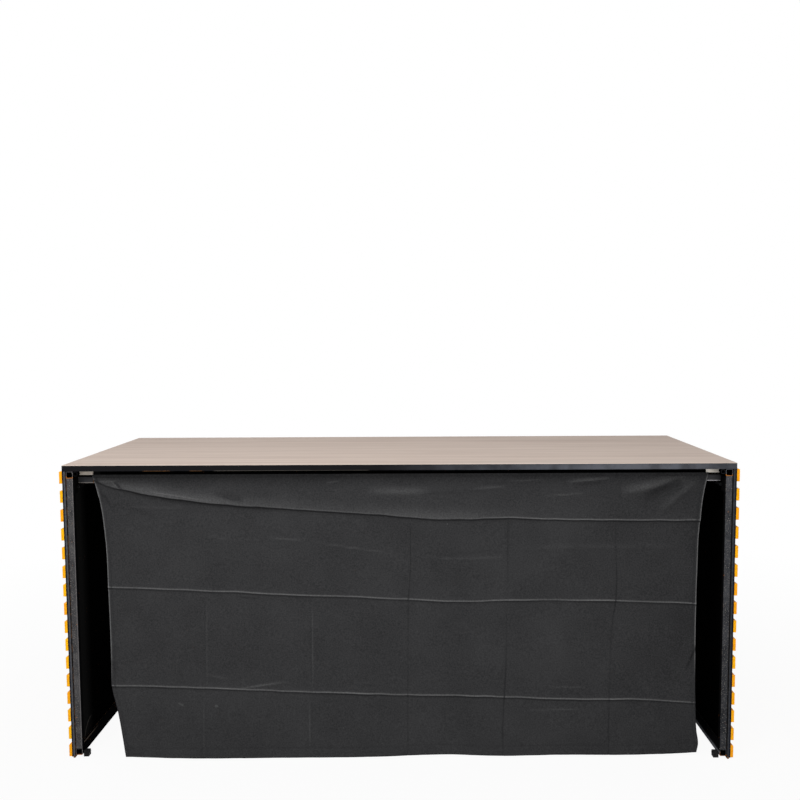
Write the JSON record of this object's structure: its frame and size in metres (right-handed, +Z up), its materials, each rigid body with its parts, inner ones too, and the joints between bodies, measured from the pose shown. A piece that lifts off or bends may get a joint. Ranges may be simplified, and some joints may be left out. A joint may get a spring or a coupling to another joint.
{
  "type": "folding buffet table",
  "caption": "Long folding buffet table: laminated top on cross tubes, slatted side frames that hinge in under it on knee stays, and a dark cloth hanging across the front.",
  "frame": {"origin": "on the floor, under the middle of the table top", "axes": "+X along the table top to the right in the picture, +Y across the top away from the cloth, +Z up"},
  "size_m": [2.018, 0.8, 0.9],
  "materials": {
    "painted_plywood": "black painted plywood with a chipped edge",
    "laminate": "satin taupe laminate",
    "painted_steel": "worn black paint with rust at the cut ends",
    "bare_plywood": "bare plywood",
    "zinc": "zinc plated",
    "worn_steel": "worn dark steel",
    "tape": "black tape",
    "cloth": "charcoal woven cloth",
    "grey_board": "dark grey painted board",
    "stained_pine": "satin orange stained pine",
    "rubber": "matt"
  },
  "bodies": {
    "top": {"top_board": "painted_plywood", "top_laminate": "laminate", "front_cross_tube": "painted_steel", "middle_cross_tube": "painted_steel", "rear_cross_tube": "painted_steel", "left_front_block": "bare_plywood", "left_middle_block": "bare_plywood", "left_rear_block": "bare_plywood", "right_front_block": "bare_plywood", "right_middle_block": "bare_plywood", "right_rear_block": "bare_plywood", "left_front_tube_screw": "zinc", "left_middle_tube_screw": "zinc", "left_rear_tube_screw": "zinc", "right_front_tube_screw": "zinc", "right_middle_tube_screw": "zinc", "right_rear_tube_screw": "zinc", "left_front_stop_sleeve": "worn_steel", "left_rear_stop_sleeve": "worn_steel", "right_front_stop_sleeve": "worn_steel", "right_rear_stop_sleeve": "worn_steel", "left_front_pivot_barrel": "painted_steel", "left_rear_pivot_barrel": "painted_steel", "right_front_pivot_barrel": "painted_steel", "right_rear_pivot_barrel": "painted_steel", "front_batten": "painted_plywood", "hook_tape": "tape", "cloth": "cloth"},
    "left_side": {"left_top_rail": "painted_steel", "left_bottom_rail": "painted_steel", "left_front_post": "painted_steel", "left_middle_post": "painted_steel", "left_rear_post": "painted_steel", "left_mount_tape": "tape", "left_board": "grey_board", "left_slat_panel": "stained_pine", "left_front_pivot_pin": "zinc", "left_rear_pivot_pin": "zinc", "left_front_foot": "rubber", "left_rear_foot": "rubber", "left_front_foot_screw": "zinc", "left_rear_foot_screw": "zinc"},
    "right_side": {"right_top_rail": "painted_steel", "right_bottom_rail": "painted_steel", "right_front_post": "painted_steel", "right_middle_post": "painted_steel", "right_rear_post": "painted_steel", "right_mount_tape": "tape", "right_board": "grey_board", "right_slat_panel": "stained_pine", "right_front_pivot_pin": "zinc", "right_rear_pivot_pin": "zinc", "right_front_foot": "rubber", "right_rear_foot": "rubber", "right_front_foot_screw": "zinc", "right_rear_foot_screw": "zinc"},
    "left_stay_upper": {"left_stay_upper": "painted_steel"},
    "left_stay_lower": {"left_stay_lower": "painted_steel"},
    "right_stay_upper": {"right_stay_upper": "painted_steel"},
    "right_stay_lower": {"right_stay_lower": "painted_steel"}
  },
  "joints": [
    {"name": "left_fold", "type": "hinge", "parent": "top", "child": "left_side", "pos_m": [-0.9598, 0, 0.8339], "axis": [0, -1, 0], "range_deg": [0, 90], "deforming": ["cloth"]},
    {"name": "right_fold", "type": "hinge", "parent": "top", "child": "right_side", "pos_m": [0.9598, 0, 0.8339], "axis": [0, 1, 0], "range_deg": [0, 90], "deforming": ["cloth"]},
    {"name": "left_stay_upper_swing", "type": "hinge", "parent": "top", "child": "left_stay_upper", "pos_m": [-0.8598, 0.355, 0.8504], "axis": [0, -1, 0], "range_deg": [-43.2, 0]},
    {"name": "left_stay_lower_swing", "type": "hinge", "parent": "left_stay_upper", "child": "left_stay_lower", "pos_m": [-0.9098, 0.355, 0.79215], "axis": [0, -1, 0], "range_deg": [0, 167.7]},
    {"name": "right_stay_upper_swing", "type": "hinge", "parent": "top", "child": "right_stay_upper", "pos_m": [0.8598, 0.355, 0.8504], "axis": [0, 1, 0], "range_deg": [-43.2, 0]},
    {"name": "right_stay_lower_swing", "type": "hinge", "parent": "right_stay_upper", "child": "right_stay_lower", "pos_m": [0.9098, 0.355, 0.79215], "axis": [0, 1, 0], "range_deg": [0, 167.7]}
  ],
  "couplings": [
    {"joint": "left_stay_upper_swing", "follows": "left_fold", "ratio": -0.47987},
    {"joint": "left_stay_lower_swing", "follows": "left_fold", "ratio": 1.8629},
    {"joint": "right_stay_upper_swing", "follows": "right_fold", "ratio": -0.47987},
    {"joint": "right_stay_lower_swing", "follows": "right_fold", "ratio": 1.8629}
  ]
}
